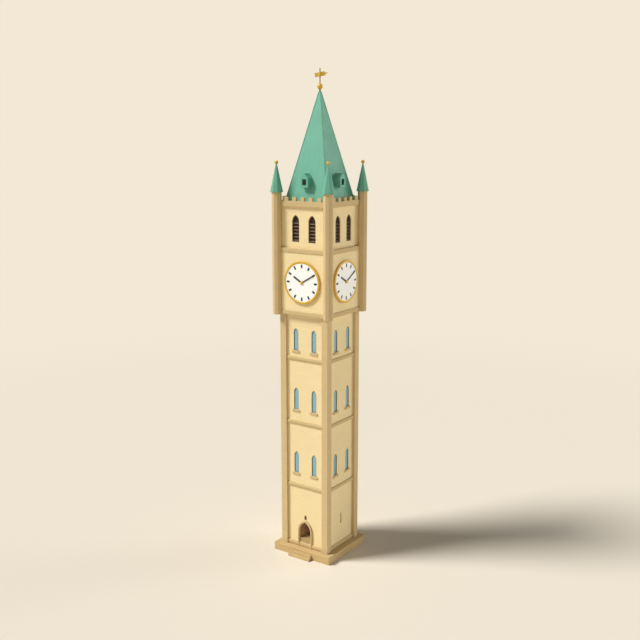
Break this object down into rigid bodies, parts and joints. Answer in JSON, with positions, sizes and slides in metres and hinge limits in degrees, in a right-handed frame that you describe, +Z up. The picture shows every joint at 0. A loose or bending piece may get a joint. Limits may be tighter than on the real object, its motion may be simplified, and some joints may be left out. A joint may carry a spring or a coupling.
{
  "type": "clock tower",
  "caption": "Square stone clock tower with corner turrets, pointed windows, a clock dial on each side, louvred belfry, battlements and a green copper spire with a vane",
  "frame": {"origin": "middle of the underside of the plinth, on the ground", "axes": "+Z up, front wall with the entrance faces -Y, +X to the right of a person facing the entrance"},
  "size_m": [5.872, 6.086, 39.23],
  "materials": {
    "pale_stone": "dressed pale limestone blocks",
    "trim_stone": "dressed tan sandstone",
    "floor_boards": "plain boards",
    "window_glass": "blue-grey glass",
    "oak": "dark stained oak",
    "iron": "dull black iron",
    "green_copper": "weathered green copper",
    "dark_louvre": "dark paint",
    "gilding": "gilded",
    "dial_white": "white enamel",
    "dial_black": "black enamel"
  },
  "bodies": {
    "tower": {"back_wall": "pale_stone", "base_course": "trim_stone", "belfry_floor": "floor_boards", "belfry_louvres": "dark_louvre", "belfry_wall_back": "pale_stone", "belfry_wall_front": "pale_stone", "belfry_wall_left": "pale_stone", "belfry_wall_right": "pale_stone", "clock_cornice": "trim_stone", "clock_floor": "floor_boards", "clock_string_course": "trim_stone", "clock_wall_back": "pale_stone", "clock_wall_front": "pale_stone", "clock_wall_left": "pale_stone", "clock_wall_right": "pale_stone", "corner_piers": "trim_stone", "corner_turrets": "trim_stone", "dial_rings": "gilding", "dials": "dial_white", "door_pintles": "iron", "door_sill": "trim_stone", "door_surround": "trim_stone", "door_wall_left": "pale_stone", "door_wall_right": "pale_stone", "dormer_louvres": "dark_louvre", "dormers": "green_copper", "entrance_steps": "trim_stone", "finial_ball": "gilding", "finial_post": "iron", "front_wall": "pale_stone", "ground_floor": "trim_stone", "hand_arbors": "gilding", "hour_bars": "dial_black", "left_wall": "pale_stone", "louvre_boards": "oak", "parapet": "trim_stone", "parapet_deck": "trim_stone", "pinnacle_balls": "gilding", "pinnacles": "green_copper", "plinth": "trim_stone", "right_wall": "pale_stone", "slit_board": "oak", "spire": "green_copper", "storey_floors": "floor_boards", "string_courses": "trim_stone", "vane_mast": "iron", "window_glass": "window_glass", "window_sills": "trim_stone"},
    "door": {"door_leaf": "oak"},
    "vane": {"weathervane": "gilding"},
    "hour_front": {"hour_hand_front": "dial_black"},
    "minute_front": {"minute_hand_front": "dial_black"},
    "hour_right": {"hour_hand_right": "dial_black"},
    "minute_right": {"minute_hand_right": "dial_black"},
    "hour_back": {"hour_hand_back": "dial_black"},
    "minute_back": {"minute_hand_back": "dial_black"},
    "hour_left": {"hour_hand_left": "dial_black"},
    "minute_left": {"minute_hand_left": "dial_black"}
  },
  "joints": [
    {"name": "door_hinge", "type": "hinge", "parent": "tower", "child": "door", "pos_m": [-0.555, -1.982, 1.56], "axis": [0, 0, 1], "range_deg": [-72, 23]},
    {"name": "vane_turn", "type": "hinge", "parent": "tower", "child": "vane", "pos_m": [0, 0, 38.78], "axis": [0, 0, 1], "continuous": true},
    {"name": "minute_turn_front", "type": "hinge", "parent": "tower", "child": "minute_front", "pos_m": [0, -2.52, 22.92], "axis": [0, 1, 0], "continuous": true},
    {"name": "hour_turn_front", "type": "hinge", "parent": "tower", "child": "hour_front", "pos_m": [0, -2.52, 22.92], "axis": [0, 1, 0], "continuous": true},
    {"name": "minute_turn_right", "type": "hinge", "parent": "tower", "child": "minute_right", "pos_m": [2.52, 0, 22.92], "axis": [-1, 0, 0], "continuous": true},
    {"name": "hour_turn_right", "type": "hinge", "parent": "tower", "child": "hour_right", "pos_m": [2.52, 0, 22.92], "axis": [-1, 0, 0], "continuous": true},
    {"name": "minute_turn_back", "type": "hinge", "parent": "tower", "child": "minute_back", "pos_m": [0, 2.52, 22.92], "axis": [0, -1, 0], "continuous": true},
    {"name": "hour_turn_back", "type": "hinge", "parent": "tower", "child": "hour_back", "pos_m": [0, 2.52, 22.92], "axis": [0, -1, 0], "continuous": true},
    {"name": "minute_turn_left", "type": "hinge", "parent": "tower", "child": "minute_left", "pos_m": [-2.52, 0, 22.92], "axis": [1, 0, 0], "continuous": true},
    {"name": "hour_turn_left", "type": "hinge", "parent": "tower", "child": "hour_left", "pos_m": [-2.52, 0, 22.92], "axis": [1, 0, 0], "continuous": true}
  ],
  "couplings": [
    {"joint": "hour_turn_front", "follows": "minute_turn_front", "ratio": 0.083333},
    {"joint": "minute_turn_right", "follows": "minute_turn_front", "ratio": 1},
    {"joint": "hour_turn_right", "follows": "minute_turn_front", "ratio": 0.083333},
    {"joint": "minute_turn_back", "follows": "minute_turn_front", "ratio": 1},
    {"joint": "hour_turn_back", "follows": "minute_turn_front", "ratio": 0.083333},
    {"joint": "minute_turn_left", "follows": "minute_turn_front", "ratio": 1},
    {"joint": "hour_turn_left", "follows": "minute_turn_front", "ratio": 0.083333}
  ]
}
